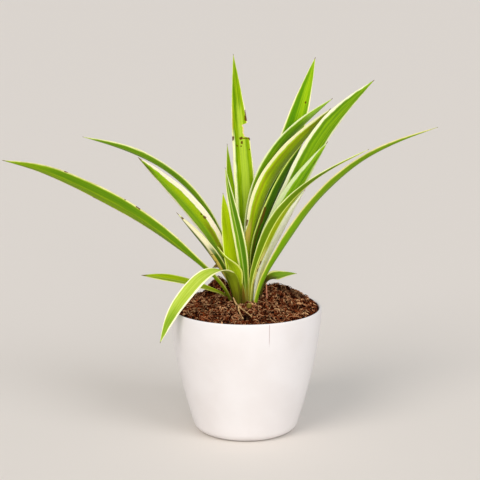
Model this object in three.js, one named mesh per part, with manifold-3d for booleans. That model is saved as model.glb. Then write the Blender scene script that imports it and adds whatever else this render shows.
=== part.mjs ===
// Spider plant in a white plastic pot, in millimetres, +Z up.
// The origin is the middle of the pot's flat base. -Y is the front.
import * as THREE from 'three';
import * as BufferGeometryUtils from 'three/addons/utils/BufferGeometryUtils.js';
import Module from 'manifold-3d';

const wasm = await Module();
wasm.setup();

// Driving dimensions of the pot
const potHeight = 100;
const rimRadius = 60;
const baseInset = 20; // how much narrower the side's curve is at the base than at the rim
const sideCurve = 1.58; // the power that the side draws in by
const baseCornerHeight = 6.5; // where the side turns in to the base
const wall = 2;
const floorThickness = 2.5;
const potSides = 56;
const lipSteps = 4;
const sideHeights = [15, 28, 42, 58, 76]; // where the curved side has a ring of vertices
const floorCorner = 3; // how far the inside of the wall turns in to the floor
const drainRadius = 3.5;
const drainCircle = 22;
const drainCount = 4;

// Driving dimensions of the soil
const soilEdgeHeight = 98.2;
const edgeTilt = 1.3; // how much higher the soil lies along the back edge, and lower along the front
const moundHeight = 6;
const heaps = [{ x: 27, y: 26, height: 8, reach: 20 }, { x: -21.5, y: 23, height: 14.5, reach: 10 }];
const hollow = { x: -0.5, y: -37, depth: 2.6, reach: 4.5 }; // a dark hollow near the front
const soilGap = 0.5; // round the soil's side, where the facets of pot and soil lie apart
const seat = 0.36; // the gap between pieces that touch
const soilRings = 12;
const soilSides = 40;

// Driving dimensions of a leaf blade
const bladeThickness = 0.8;
const leafSteps = 22;
const turnSpan = [0.04, 0.42]; // the shares of the length between which the turn goes from base to tip
const foldSpan = [0, 0.6]; // the same for the fold
const biteEdge = 0.004; // the share of the length that a bite's ends take
const rootHeight = 96; // where every leaf base ends, inside the soil
const rootWidthShare = 0.42;
const usualTaper = 2; // the power that the outline closes by past the widest place
const tipHalfWidth = 0.5;
const holeLength = 22; // how much of a leaf, from its base up, the holes in the soil are cut for

// One row a leaf. spine: points on the midrib from the soil line to the tip. width: at the widest place,
// which is at the share 'widest' of the length. root and taper: the base's share of the width and the
// power of the tip's outline, if not the usual ones. fold: how far each half of the blade is raised, in
// degrees, at the base and at the tip. turn: how far the blade is turned about its midrib from facing up
// and in, in degrees, at the base and at the tip, and turnOver: the shares of the length between which it
// turns, if not the usual ones. bite: a notch in one margin, its start, end and depth in mm back from the
// tip. dry: a dead, brown one.
const leaves = [
  { name: 'leaf_far_left', width: 14, widest: 0.6, taper: 2.3, root: 0.35, fold: [24, 16], turn: [22, 55],
    spine: [[-12.8, 0.1, 104], [-32.8, -3, 131.2], [-74.8, -8, 167.3], [-131, -18, 201.2], [-155, -24, 212.4],
      [-184, -30, 220.4]] },
  { name: 'leaf_left_arching', width: 10.5, widest: 0.6, fold: [24, 20], turn: [0, 52],
    spine: [[-6, 4.2, 105], [-18.2, 15, 149.2], [-41, 27, 184.1], [-89, 46, 215.6], [-133, 60, 227]] },
  { name: 'leaf_left_broad', width: 18, widest: 0.55, taper: 2.1, fold: [24, 14], turn: [0, 60],
    spine: [[-8.2, 2.5, 105], [-18.2, 6, 138], [-44.9, 8, 178.5], [-63.3, 7, 197.8], [-84, 4, 218]] },
  { name: 'leaf_left_drying', width: 8.6, widest: 0.5, fold: [24, 22], turn: [0, 50],
    spine: [[-10.1, 1.4, 105], [-19.8, 1, 131.4], [-33.5, -1, 151.5], [-54, -5, 176]] },
  { name: 'leaf_low_left', width: 12, widest: 0.7, taper: 1.8, root: 0.28, fold: [22, 16], turn: [0, -14],
    spine: [[-13.8, 7.4, 103.2], [-25, 10.2, 109.4], [-47, 22, 113.4], [-85, 38, 116.3]] },
  { name: 'leaf_bent_front', width: 12, widest: 0.6, taper: 2.2, root: 0.47, fold: [20, 10], turn: [65, -40],
    turnOver: [0.15, 0.55],
    spine: [[-6.6, -10.5, 103], [-8.5, -14, 120], [-15, -20, 131.5], [-29.2, -26, 131.7], [-42, -31, 121.5],
      [-55, -36, 104.6], [-66, -38, 80]] },
  { name: 'leaf_short_crown', width: 12, widest: 0.55, taper: 1, root: 0.28, fold: [22, 14], turn: [67, 5],
    turnOver: [0.45, 0.85],
    spine: [[-6.6, -6.6, 104], [-7.4, -8.9, 120], [-10.3, -10.8, 134], [-16.2, -12.6, 141.8], [-22.8, -14, 152]] },
  { name: 'leaf_centre_folded', width: 10, widest: 0.45, fold: [28, 28], turn: [40, 50],
    spine: [[0.3, -5.2, 104], [-1, -6.7, 124], [-6, -8.7, 158], [-12, -11.6, 187], [-16, -15, 213]] },
  { name: 'leaf_upright_short', width: 14, widest: 0.5, fold: [22, 14], turn: [-65, -40],
    spine: [[-3.8, -1.2, 105], [-9.3, -1.7, 125], [-13.4, -0.7, 153], [-16.2, 1.3, 173], [-18, 4, 190]] },
  { name: 'leaf_upright_behind', width: 9, widest: 0.5, fold: [24, 15], turn: [0, 0],
    spine: [[-3.5, 13, 105], [-6, 25, 148], [-12, 38, 187], [-15, 48, 223]] },
  { name: 'leaf_upright_tall', width: 17, widest: 0.47, fold: [24, 14], turn: [0, 0],
    bite: { start: 67.5, end: 56.5, depth: 4, side: 1 },
    spine: [[-0.5, 9.5, 105], [0, 19, 150], [-2, 31, 202], [-7, 43, 259], [-10, 50, 295]] },
  { name: 'leaf_right_arch_inner', width: 12.5, widest: 0.6, taper: 2.4, fold: [24, 18], turn: [0, -70],
    spine: [[0.4, 3.1, 105], [2.8, 12.4, 161], [12, 20.6, 198], [31.5, 27.6, 228.5], [69, 34, 261]] },
  { name: 'leaf_right_arch_middle', width: 16.5, widest: 0.62, fold: [24, 18], turn: [0, -70],
    spine: [[2.4, 2.7, 105], [6.8, 8.1, 166.8], [15.7, 13.6, 194.3], [34.2, 19.1, 220.2], [67, 24, 254]] },
  { name: 'leaf_right_arch_outer', width: 11.3, widest: 0.55, fold: [24, 18], turn: [0, -70],
    spine: [[4.4, 2.5, 105], [8, 4.8, 146], [17.6, 9.4, 172.7], [28.7, 13, 198.6], [45, 17, 228]] },
  { name: 'leaf_right_broad', width: 18, widest: 0.6, fold: [24, 12], turn: [0, -75],
    spine: [[6.8, 2.4, 105], [15.3, 4.9, 147], [37.5, 6.5, 193.5], [62.3, 6, 240], [99, 5, 278]] },
  { name: 'leaf_right_short', width: 14.5, widest: 0.55, fold: [24, 15], turn: [0, -70],
    spine: [[8.9, 1.3, 105], [15, -1.3, 147.7], [29.2, -4.6, 179], [45, -6.3, 206], [63, -8, 232]] },
  { name: 'leaf_right_front', width: 11.2, widest: 0.4, root: 0.2, fold: [24, 20], turn: [-55, -8],
    turnOver: [0.4, 0.8],
    spine: [[3.6, -6.4, 104], [5.6, -8.6, 125], [11.8, -12, 145], [24, -20, 173], [50.2, -28, 203.8], [92, -38, 230]] },
  { name: 'leaf_right_banded', width: 11, widest: 0.5, root: 0.36, fold: [24, 18], turn: [-30, -50],
    spine: [[6.9, -4, 104], [12.4, -6, 134], [24, -10, 160], [35, -14, 180], [45.5, -17, 196]] },
  { name: 'leaf_far_right', width: 9, widest: 0.4, root: 0.4, fold: [24, 20], turn: [-42, -38],
    spine: [[7.8, -9.5, 103], [15, -11, 127], [23.2, -13.6, 142.4], [51, -24, 186], [93, -34, 225], [142, -46, 247.5]] },
  { name: 'leaf_low_right', width: 9.8, widest: 0.56, taper: 1.5, root: 0.18, fold: [22, 14], turn: [-50, 36],
    turnOver: [0.26, 0.56],
    spine: [[12, 9, 105], [17.2, 18, 116], [26, 30, 118], [42, 48, 115.6]] },
  { name: 'leaf_upper_right', width: 18.6, widest: 0.6, fold: [24, 14], turn: [0, 45],
    spine: [[6, 11.5, 105], [15.2, 26, 160], [33.4, 42, 219], [47, 51, 262], [56, 56, 292]] },
  { name: 'leaf_back_middle', width: 11, widest: 0.5, fold: [24, 18], turn: [0, 0],
    spine: [[0, 18.5, 105], [1, 38, 138], [2, 62, 160], [3, 92, 158]] },
  { name: 'leaf_back_left', width: 7, widest: 0.62, taper: 2.6, fold: [24, 18], turn: [0, 55],
    spine: [[-8, 16, 104], [-14, 34, 120], [-20, 48, 122], [-27.5, 61, 117.5]] },
  { name: 'leaf_back_right', width: 11, widest: 0.5, fold: [24, 18], turn: [0, 0],
    spine: [[6.5, 19, 105], [14, 40, 137], [24, 60, 158], [36, 86, 158]] },
  { name: 'dry_sheath', width: 4, widest: 0.3, root: 0.8, fold: [20, 10], turn: [0, 20], dry: true,
    spine: [[-1.6, -9.5, 104], [-1.9, -10.1, 112], [-2.4, -10.7, 121]] },
];

// Driving dimensions of the dry bits. points: along the middle line, radii: at each of them.
const stemStub = { points: [[2.5, -18, 97], [2.5, -17.6, 103], [2.4, -16.6, 106.6]], radii: [2.3, 2.2, 1.9] };
const dryStalk = { points: [[17, 0.8, 98], [16.8, 1, 105], [16.4, 1.2, 112], [16.3, 1.5, 118]],
  radii: [0.7, 0.7, 0.6, 0.4] };
// The strand runs from the leaf bases down on the soil and forks. lift: its middle line over the soil.
const strandLift = 1.6;
const strandStart = [[-9.9, -11.6, 109.7], [-8.5, -13, 106.6]];
const strandBranches = [
  { radii: [0.5, 0.8, 0.9, 0.9, 0.8, 0.7, 0.5],
    ground: [[-7, -16], [-5.9, -20], [-5.7, -26], [-4.6, -34], [-2.2, -47]] },
  { radii: [0.5, 0.8, 0.9, 0.9, 0.8, 0.6, 0.4],
    ground: [[-7, -16], [-5.9, -20], [-4, -24.5], [-0.2, -33], [4.6, -42]] },
];
const roundSides = 7;

const radians = THREE.MathUtils.degToRad;
const smooth = THREE.MathUtils.smoothstep;
const mix = THREE.MathUtils.lerp;

function finish(name, geometry, material) {
  geometry.deleteAttribute('uv');
  geometry.deleteAttribute('normal');
  const mesh = new THREE.Mesh(BufferGeometryUtils.mergeVertices(geometry, 1e-4), material);
  mesh.geometry.computeVertexNormals();
  mesh.name = name;
  return mesh;
}

function fromPoints(points, indices) {
  const geometry = new THREE.BufferGeometry();
  const flat = points.flatMap((p) => [p.x, p.y, p.z]);
  geometry.setAttribute('position', new THREE.Float32BufferAttribute(flat, 3));
  geometry.setIndex(indices);
  return geometry;
}

function toSolid(geometry) {
  const clean = geometry.clone();
  clean.deleteAttribute('uv');
  clean.deleteAttribute('normal');
  const merged = BufferGeometryUtils.mergeVertices(clean, 1e-4);
  return new wasm.Manifold(new wasm.Mesh({
    numProp: 3,
    vertProperties: new Float32Array(merged.attributes.position.array),
    triVerts: new Uint32Array(merged.index.array),
  }));
}

function fromSolid(solid) {
  const mesh = solid.getMesh();
  const geometry = new THREE.BufferGeometry();
  geometry.setAttribute('position', new THREE.BufferAttribute(new Float32Array(mesh.vertProperties), 3));
  geometry.setIndex(new THREE.BufferAttribute(new Uint32Array(mesh.triVerts), 1));
  return geometry;
}

// Pot

function potRadiusAt(z) {
  return rimRadius - baseInset * Math.pow(Math.max(1 - z / potHeight, 0), sideCurve);
}

function potInnerRadiusAt(z) {
  return potRadiusAt(z) - wall;
}

function makePot() {
  const profile = [new THREE.Vector2(0, 0)];
  const slope = Math.atan((potRadiusAt(baseCornerHeight + 1) - potRadiusAt(baseCornerHeight - 1)) / 2);
  const corner = baseCornerHeight / (1 - Math.sin(slope));
  const cornerCentre = potRadiusAt(baseCornerHeight) - corner * Math.cos(slope);
  for (let i = 0; i <= lipSteps; i += 1) {
    const angle = (i / lipSteps) * (Math.PI / 2 - slope);
    profile.push(new THREE.Vector2(cornerCentre + corner * Math.sin(angle),
      corner * (1 - Math.cos(angle))));
  }
  for (const z of sideHeights) {
    profile.push(new THREE.Vector2(potRadiusAt(z), z));
  }
  const lip = wall / 2;
  for (let i = 0; i <= lipSteps; i += 1) {
    const angle = (i / lipSteps) * Math.PI;
    profile.push(new THREE.Vector2(rimRadius - lip + lip * Math.cos(angle),
      potHeight - lip + lip * Math.sin(angle)));
  }
  for (const z of [...sideHeights.toReversed(), floorThickness + floorCorner]) {
    profile.push(new THREE.Vector2(potInnerRadiusAt(z), z));
  }
  profile.push(new THREE.Vector2(potInnerRadiusAt(floorThickness) - floorCorner, floorThickness));
  profile.push(new THREE.Vector2(0, floorThickness));
  let pot = toSolid(new THREE.LatheGeometry(profile, potSides).rotateX(Math.PI / 2));
  for (let i = 0; i < drainCount; i += 1) {
    const angle = ((i + 0.5) / drainCount) * 2 * Math.PI;
    const drain = new THREE.CylinderGeometry(drainRadius, drainRadius, 3 * floorThickness, 12);
    drain.rotateX(Math.PI / 2);
    drain.translate(drainCircle * Math.cos(angle), drainCircle * Math.sin(angle), floorThickness / 2);
    pot = pot.subtract(toSolid(drain));
  }
  const material = new THREE.MeshStandardMaterial({ color: 0xf2f0ec, roughness: 0.35, metalness: 0 });
  return finish('pot', fromSolid(pot), material);
}

// Leaves

// A natural cubic spline through the points, over the length of the straight steps between them
function spline(points) {
  const knots = [0];
  for (let i = 1; i < points.length; i += 1) {
    knots.push(knots[i - 1] + points[i].distanceTo(points[i - 1]));
  }
  const last = points.length - 1;
  const diagonal = [1];
  const bends = [new THREE.Vector3()];
  for (let i = 1; i < last; i += 1) {
    const before = knots[i] - knots[i - 1];
    const after = knots[i + 1] - knots[i];
    const slopeAfter = points[i + 1].clone().sub(points[i]).divideScalar(after);
    const slopeBefore = points[i].clone().sub(points[i - 1]).divideScalar(before);
    const carried = i > 1 ? before / diagonal[i - 1] : 0;
    diagonal.push(2 * (before + after) - carried * (i > 1 ? before : 0));
    bends.push(slopeAfter.sub(slopeBefore).multiplyScalar(6).addScaledVector(bends[i - 1], -carried));
  }
  bends.push(new THREE.Vector3());
  for (let i = last - 1; i > 0; i -= 1) {
    const after = knots[i + 1] - knots[i];
    bends[i].addScaledVector(bends[i + 1], -after).divideScalar(diagonal[i]);
  }
  const length = knots[last];
  const at = (distance) => {
    let i = 0;
    while (i < last - 1 && distance > knots[i + 1]) {
      i += 1;
    }
    const step = knots[i + 1] - knots[i];
    const a = (knots[i + 1] - distance) / step;
    const b = 1 - a;
    const c = ((a * a * a - a) * step * step) / 6;
    const d = ((b * b * b - b) * step * step) / 6;
    return points[i].clone().multiplyScalar(a).addScaledVector(points[i + 1], b)
      .addScaledVector(bends[i], c).addScaledVector(bends[i + 1], d);
  };
  return { length, at };
}

// The width over the length: narrow at the base, parallel to the widest place, then drawn to the tip
function halfWidth(leaf, share) {
  const rise = mix(leaf.root ?? rootWidthShare, 1, smooth(share, 0, leaf.widest));
  const past = Math.max(share - leaf.widest, 0) / (1 - leaf.widest);
  return Math.max((leaf.width / 2) * rise * (1 - past ** (leaf.taper ?? usualTaper)), tipHalfWidth);
}

// The blade: a shallow V in section, three vertices on its upper face and three under them. It is
// thicker and wider all round by grow, and runs from its base up to reachAlong.
function makeBlade(leaf, grow = 0, reachAlong = Infinity) {
  const points = leaf.spine.map((p) => new THREE.Vector3(...p));
  const lean = points[1].clone().sub(points[0]).setZ(0).multiplyScalar(0.08);
  points.unshift(points[0].clone().sub(lean).setZ(rootHeight - grow));
  const line = spline(points);
  const heading = points[points.length - 1].clone().sub(points[0]);
  const across = new THREE.Vector3(-heading.y, heading.x, 0).normalize();
  const to = Math.min(reachAlong / line.length, 1);
  const shares = Array.from({ length: leafSteps + 1 }, (_, i) => i / leafSteps);
  if (to < 1) {
    shares.push(to / 2, to);
    shares.sort((a, b) => a - b);
  }
  if (leaf.bite) {
    for (const mark of [leaf.bite.start, leaf.bite.end]) {
      const share = 1 - mark / line.length;
      shares.push(share - biteEdge, share + biteEdge);
    }
    shares.sort((a, b) => a - b);
  }
  const kept = shares.filter((share) => share <= to);
  const vertices = [];
  for (const share of kept) {
    const centre = line.at(share * line.length);
    const ahead = line.at(Math.min(share * line.length + 0.5, line.length));
    const behind = line.at(Math.max(share * line.length - 0.5, 0));
    const along = ahead.sub(behind).normalize();
    const side = across.clone().addScaledVector(along, -across.dot(along)).normalize();
    const turn = radians(mix(leaf.turn[0], leaf.turn[1], smooth(share, ...(leaf.turnOver ?? turnSpan))));
    side.applyAxisAngle(along, turn);
    const up = along.clone().cross(side);
    const fold = radians(mix(leaf.fold[0], leaf.fold[1], smooth(share, ...foldSpan)));
    const half = bladeThickness / 2 + grow;
    for (const face of [half / Math.cos(fold), -half / Math.cos(fold)]) {
      for (const way of [1, 0, -1]) {
        let reach = halfWidth(leaf, share) + grow;
        if (leaf.bite && way === -leaf.bite.side) {
          const mark = (1 - share) * line.length;
          reach -= mark < leaf.bite.start && mark > leaf.bite.end ? leaf.bite.depth : 0;
        }
        vertices.push(centre.clone().addScaledVector(side, way * reach * Math.cos(fold))
          .addScaledVector(up, Math.abs(way) * reach * Math.sin(fold) + face));
      }
    }
  }
  const indices = [];
  const quad = (a, b, c, d) => indices.push(a, b, c, b, d, c);
  for (let i = 0; i < kept.length - 1; i += 1) {
    const here = 6 * i;
    const next = here + 6;
    quad(here, here + 1, next, next + 1);
    quad(here + 1, here + 2, next + 1, next + 2);
    indices.push(here + 3, next + 3, here + 4, here + 4, next + 3, next + 4);
    indices.push(here + 4, next + 4, here + 5, here + 5, next + 4, next + 5);
    quad(here + 3, here, next + 3, next);
    quad(here + 2, here + 5, next + 2, next + 5);
  }
  const end = 6 * (kept.length - 1);
  quad(0, 3, 1, 4);
  quad(1, 4, 2, 5);
  quad(end + 3, end, end + 4, end + 1);
  quad(end + 4, end + 1, end + 5, end + 2);
  return fromPoints(vertices, indices);
}

// Round pieces: a tube along a spline, with flat ends. Its radius runs straight from point to point.

function makeTube(points, radii, steps) {
  const line = spline(points);
  const marks = [0];
  for (let i = 1; i < points.length; i += 1) {
    marks.push(marks[i - 1] + points[i].distanceTo(points[i - 1]));
  }
  const vertices = [];
  const start = line.at(0);
  const end = line.at(line.length);
  for (let step = 0; step <= steps; step += 1) {
    const distance = (line.length * step) / steps;
    let i = 0;
    while (i < marks.length - 2 && distance > marks[i + 1]) {
      i += 1;
    }
    const radius = mix(radii[i], radii[i + 1], (distance - marks[i]) / (marks[i + 1] - marks[i]));
    const ahead = line.at(Math.min(distance + 0.2, line.length));
    const along = ahead.sub(line.at(Math.max(distance - 0.2, 0))).normalize();
    const side = new THREE.Vector3(1, 0, 0).addScaledVector(along, -along.x).normalize();
    const up = along.clone().cross(side);
    for (let j = 0; j < roundSides; j += 1) {
      const angle = (j / roundSides) * 2 * Math.PI;
      vertices.push(line.at(distance).addScaledVector(side, radius * Math.cos(angle))
        .addScaledVector(up, radius * Math.sin(angle)));
    }
  }
  vertices.push(start, end);
  const indices = [];
  const last = steps * roundSides;
  for (let j = 0; j < roundSides; j += 1) {
    const next = (j + 1) % roundSides;
    indices.push(vertices.length - 2, next, j);
    indices.push(vertices.length - 1, last + j, last + next);
    for (let row = 0; row < last; row += roundSides) {
      indices.push(row + j, row + next, row + roundSides + j);
      indices.push(row + next, row + roundSides + next, row + roundSides + j);
    }
  }
  return fromPoints(vertices, indices);
}

// Soil

function moundHeightAt(x, y) {
  const out = Math.min(Math.hypot(x, y) / rimRadius, 1);
  const dome = moundHeight * Math.pow(1 - out * out, 0.8);
  const heaped = heaps.reduce((sum, heap) => {
    const apart = ((x - heap.x) ** 2 + (y - heap.y) ** 2) / heap.reach ** 2;
    return sum + heap.height * Math.exp(-apart);
  }, 0);
  const crumbs = 0.7 * Math.sin(0.41 * x + 0.9) * Math.sin(0.37 * y + 0.4)
    + 0.5 * Math.sin(0.23 * x - 0.53 * y);
  return soilEdgeHeight + (edgeTilt * y) / rimRadius + dome
    + heaped * (1 - out ** 8) + crumbs * (1 - out ** 6);
}

function soilHeightAt(x, y) {
  const apart = ((x - hollow.x) ** 2 + (y - hollow.y) ** 2) / hollow.reach ** 2;
  return moundHeightAt(x, y) - hollow.depth * Math.exp(-apart);
}

function makeSoil(holes) {
  const rows = [];
  const edge = potInnerRadiusAt(soilEdgeHeight) - soilGap;
  for (let ring = 1; ring <= soilRings; ring += 1) {
    const radius = (edge * ring) / soilRings;
    rows.push((angle) => new THREE.Vector3(radius * Math.cos(angle), radius * Math.sin(angle),
      soilHeightAt(radius * Math.cos(angle), radius * Math.sin(angle))));
  }
  for (const z of [...sideHeights.toReversed(), floorThickness + floorCorner + soilGap]) {
    const radius = potInnerRadiusAt(z) - soilGap;
    rows.push((angle) => new THREE.Vector3(radius * Math.cos(angle), radius * Math.sin(angle), z));
  }
  const bottom = floorThickness + seat;
  const bottomRadius = potInnerRadiusAt(floorThickness) - floorCorner - soilGap;
  rows.push((angle) => new THREE.Vector3(bottomRadius * Math.cos(angle), bottomRadius * Math.sin(angle),
    bottom));
  const points = rows.flatMap((row) => Array.from({ length: soilSides },
    (_, i) => row((i / soilSides) * 2 * Math.PI)));
  points.push(new THREE.Vector3(0, 0, soilHeightAt(0, 0)), new THREE.Vector3(0, 0, bottom));
  const top = points.length - 2;
  const indices = [];
  for (let i = 0; i < soilSides; i += 1) {
    const next = (i + 1) % soilSides;
    indices.push(top, i, next);
    const foot = (rows.length - 1) * soilSides;
    indices.push(top + 1, foot + next, foot + i);
    for (let row = 0; row < rows.length - 1; row += 1) {
      const a = row * soilSides;
      const b = a + soilSides;
      indices.push(a + i, b + i, a + next, a + next, b + i, b + next);
    }
  }
  let soil = toSolid(fromPoints(points, indices));
  for (const hole of holes) {
    soil = soil.subtract(toSolid(hole));
  }
  // The holes of two close leaves can cut a crumb loose between them: only the main body stays
  const bodies = soil.decompose();
  bodies.sort((a, b) => b.volume() - a.volume());
  const material = new THREE.MeshStandardMaterial({ color: 0x4a2c20, roughness: 0.95, metalness: 0 });
  return finish('soil', fromSolid(bodies[0]), material);
}

function makeStrand() {
  const tubes = strandBranches.map(({ radii, ground }) => {
    const points = strandStart.map((p) => new THREE.Vector3(...p));
    for (const [x, y] of ground) {
      points.push(new THREE.Vector3(x, y, moundHeightAt(x, y) + strandLift));
    }
    return toSolid(makeTube(points, radii, 18));
  });
  const material = new THREE.MeshStandardMaterial({ color: 0xb08a4e, roughness: 0.8, metalness: 0 });
  return finish('dry_strand', fromSolid(tubes[0].add(tubes[1])), material);
}

const stubPoints = stemStub.points.map((p) => new THREE.Vector3(...p));
const stalkPoints = dryStalk.points.map((p) => new THREE.Vector3(...p));
const holeFor = (points, radii) => {
  const deeper = [points[0].clone().setZ(points[0].z - seat), ...points.slice(1)];
  return makeTube(deeper, radii.map((radius) => radius / Math.cos(Math.PI / roundSides) + seat), 6);
};
const holes = [holeFor(stubPoints, stemStub.radii), holeFor(stalkPoints, dryStalk.radii)];
for (const leaf of leaves) {
  holes.push(makeBlade(leaf, seat, holeLength));
}

const leafMaterial = new THREE.MeshStandardMaterial({ color: 0x7fae2c, roughness: 0.5, metalness: 0 });
const dryMaterial = new THREE.MeshStandardMaterial({ color: 0x5a3a22, roughness: 0.85, metalness: 0 });
const stubMaterial = new THREE.MeshStandardMaterial({ color: 0x8a9468, roughness: 0.6, metalness: 0 });
const plant = new THREE.Group();
plant.add(makePot());
plant.add(makeSoil(holes));
for (const leaf of leaves) {
  plant.add(finish(leaf.name, makeBlade(leaf), leaf.dry ? dryMaterial : leafMaterial));
}
plant.add(finish('stem_stub', makeTube(stubPoints, stemStub.radii, 6), stubMaterial));
plant.add(finish('dry_stalk', makeTube(stalkPoints, dryStalk.radii, 6), dryMaterial));
plant.add(makeStrand());

export default plant;
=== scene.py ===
import math

import bmesh
import bpy
import numpy as np
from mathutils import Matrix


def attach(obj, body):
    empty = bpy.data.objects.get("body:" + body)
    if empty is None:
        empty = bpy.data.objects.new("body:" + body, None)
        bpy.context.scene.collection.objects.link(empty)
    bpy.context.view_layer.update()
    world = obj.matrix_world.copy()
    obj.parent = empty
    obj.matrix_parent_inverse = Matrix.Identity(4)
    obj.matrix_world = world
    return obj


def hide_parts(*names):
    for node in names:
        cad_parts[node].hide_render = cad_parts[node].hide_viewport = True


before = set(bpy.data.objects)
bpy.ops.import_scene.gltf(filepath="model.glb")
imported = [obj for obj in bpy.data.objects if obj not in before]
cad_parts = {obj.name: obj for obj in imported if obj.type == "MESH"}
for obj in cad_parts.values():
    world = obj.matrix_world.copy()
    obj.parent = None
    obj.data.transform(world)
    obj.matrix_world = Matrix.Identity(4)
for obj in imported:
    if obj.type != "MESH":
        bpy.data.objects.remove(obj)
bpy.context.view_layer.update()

mm = 0.001  # the tables are in millimetres, the scene is in metres
print("frame loaded:", len(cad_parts), "nodes")


def linear(red, green, blue):
    # a colour as seen on a screen, 0 to 255, turned into the values that light is counted in
    part = [v / 255 for v in (red, green, blue)]
    return tuple(v / 12.92 if v <= 0.04045 else ((v + 0.055) / 1.055) ** 2.4 for v in part) + (1.0,)


def sign(operation, swapped=False):
    # what a sign such as + between wires or numbers does: it adds a Math node
    def method(wire, other):
        return wire.paint.math(operation, *((other, wire) if swapped else (wire, other)))
    return method


class Wire:
    # one output of a node; sums and products of wires add their own Math nodes
    def __init__(self, paint, socket):
        self.paint, self.socket = paint, socket

    __add__, __mul__ = sign("ADD"), sign("MULTIPLY")
    __sub__, __rsub__ = sign("SUBTRACT"), sign("SUBTRACT", swapped=True)
    __truediv__, __pow__ = sign("DIVIDE"), sign("POWER")


class Paint:
    def __init__(self, name):
        self.material = bpy.data.materials.new(name)
        self.material.use_nodes = True
        self.tree = self.material.node_tree
        self.tree.nodes.clear()

    def node(self, kind, settings, sockets, out=0):
        made = self.tree.nodes.new(kind)
        for key, value in settings.items():
            setattr(made, key, value)
        for key, value in sockets.items():
            if isinstance(value, Wire):
                self.tree.links.new(value.socket, made.inputs[key])
            else:
                made.inputs[key].default_value = linear(*value) if isinstance(value, tuple) else value
        return Wire(self, made.outputs[out])

    def math(self, operation, *values):
        return self.node("ShaderNodeMath", {"operation": operation}, dict(enumerate(values)))

    def limit(self, value):
        return self.node("ShaderNodeMath", {"operation": "ADD", "use_clamp": True}, {0: value, 1: 0.0})

    def ease(self, value, low, high, start=0.0, end=1.0):
        # smooth step: start where value is low, end where it is high
        return self.node("ShaderNodeMapRange", {"interpolation_type": "SMOOTHSTEP"},
                         {0: value, 1: low, 2: high, 3: start, 4: end})

    def fade(self, value, low, high, start=1.0):
        return self.ease(value, low, high, start, 0.0)

    def mix(self, amount, first, second):
        return self.node("ShaderNodeMix", {"data_type": "RGBA"}, {0: amount, 6: first, 7: second}, 2)

    def ramp(self, value, *stops):
        made = self.node("ShaderNodeValToRGB", {}, {0: value})
        elements = made.socket.node.color_ramp.elements
        for number, (place, colour) in enumerate(stops):
            element = elements[number] if number < len(elements) else elements.new(place)
            element.position, element.color = place, linear(*colour)
        return made

    def join(self, x, y, z):
        return self.node("ShaderNodeCombineXYZ", {}, {0: x, 1: y, 2: z})

    def split(self, vector):
        first = self.node("ShaderNodeSeparateXYZ", {}, {0: vector})
        return [Wire(self, socket) for socket in first.socket.node.outputs]

    def attribute(self, name, out="Vector"):
        return self.node("ShaderNodeAttribute", {"attribute_name": name}, {}, out)

    def place(self):
        return self.node("ShaderNodeTexCoord", {}, {}, "Object")

    def noise(self, vector, scale=1.0, detail=2.0, roughness=0.5):
        return self.node("ShaderNodeTexNoise", {}, {"Vector": vector, "Scale": scale, "Detail": detail,
                                                     "Roughness": roughness})

    def bump(self, height, distance, strength):
        return self.node("ShaderNodeBump", {}, {"Height": height, "Distance": distance, "Strength": strength})

    def finish(self, colour, roughness, specular, **sockets):
        sockets = {"Base Color": colour, "Roughness": roughness, "Specular IOR Level": specular, **sockets}
        shader = self.node("ShaderNodeBsdfPrincipled", {}, sockets)
        made = self.tree.nodes.new("ShaderNodeOutputMaterial")
        self.tree.links.new(shader.socket, made.inputs["Surface"])
        return self.material


def buildMesh(points, quads, triangles=(), fields=None, smooth=True):
    # points in millimetres; quads and triangles are rows of point numbers; fields are values kept at each point
    points = np.asarray(points, float).reshape(-1, 3) * mm
    quads = np.asarray(quads, int).reshape(-1, 4)
    triangles = np.asarray(triangles, int).reshape(-1, 3)
    mesh = bpy.data.meshes.new("mesh")
    mesh.vertices.add(len(points))
    mesh.vertices.foreach_set("co", points.ravel())
    corners = np.concatenate([quads.ravel(), triangles.ravel()])
    starts = np.concatenate([np.arange(len(quads)) * 4, 4 * len(quads) + np.arange(len(triangles)) * 3])
    mesh.loops.add(len(corners))
    mesh.loops.foreach_set("vertex_index", corners)
    mesh.polygons.add(len(starts))
    mesh.polygons.foreach_set("loop_start", starts)
    mesh.update(calc_edges=True)
    mesh.polygons.foreach_set("use_smooth", np.full(len(starts), smooth))
    for field, values in (fields or {}).items():
        values = np.asarray(values, float)
        wide = values.ndim > 1
        held = mesh.attributes.new(field, "FLOAT_VECTOR" if wide else "FLOAT", "POINT")
        held.data.foreach_set("vector" if wide else "value", values.ravel())
    mesh.validate()
    return mesh


def addObject(name, data):
    data.name = name
    made = bpy.data.objects.new(name, data)
    bpy.context.scene.collection.objects.link(made)
    return made


def addPiece(name, mesh, material, slot, *nodes):
    piece = addObject(name, mesh)
    mesh.materials.append(material)
    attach(piece, "root")
    if nodes:
        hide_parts(*nodes)


def gridFaces(rows, columns):
    # quads between the rows of a grid, with the last column joined to the first
    row, column = np.meshgrid(np.arange(rows - 1), np.arange(columns), indexing="ij")
    here = row * columns + column
    beside = row * columns + (column + 1) % columns
    return np.stack([here, beside, beside + columns, here + columns], -1).reshape(-1, 4)


def capFaces(rows, columns):
    # fans from two middle points, which come after the grid's own, to its first and its last row
    ring = np.arange(columns)
    beside = (ring + 1) % columns
    last = (rows - 1) * columns
    first = np.full(columns, rows * columns)
    return np.concatenate([np.stack([first, ring, beside], -1),
                           np.stack([first + 1, last + beside, last + ring], -1)])


def circles(radius, height, angle):
    # a row of points round the upright axis for each radius and height
    return np.stack([radius * np.cos(angle), radius * np.sin(angle), height + 0 * angle], -1)


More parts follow.
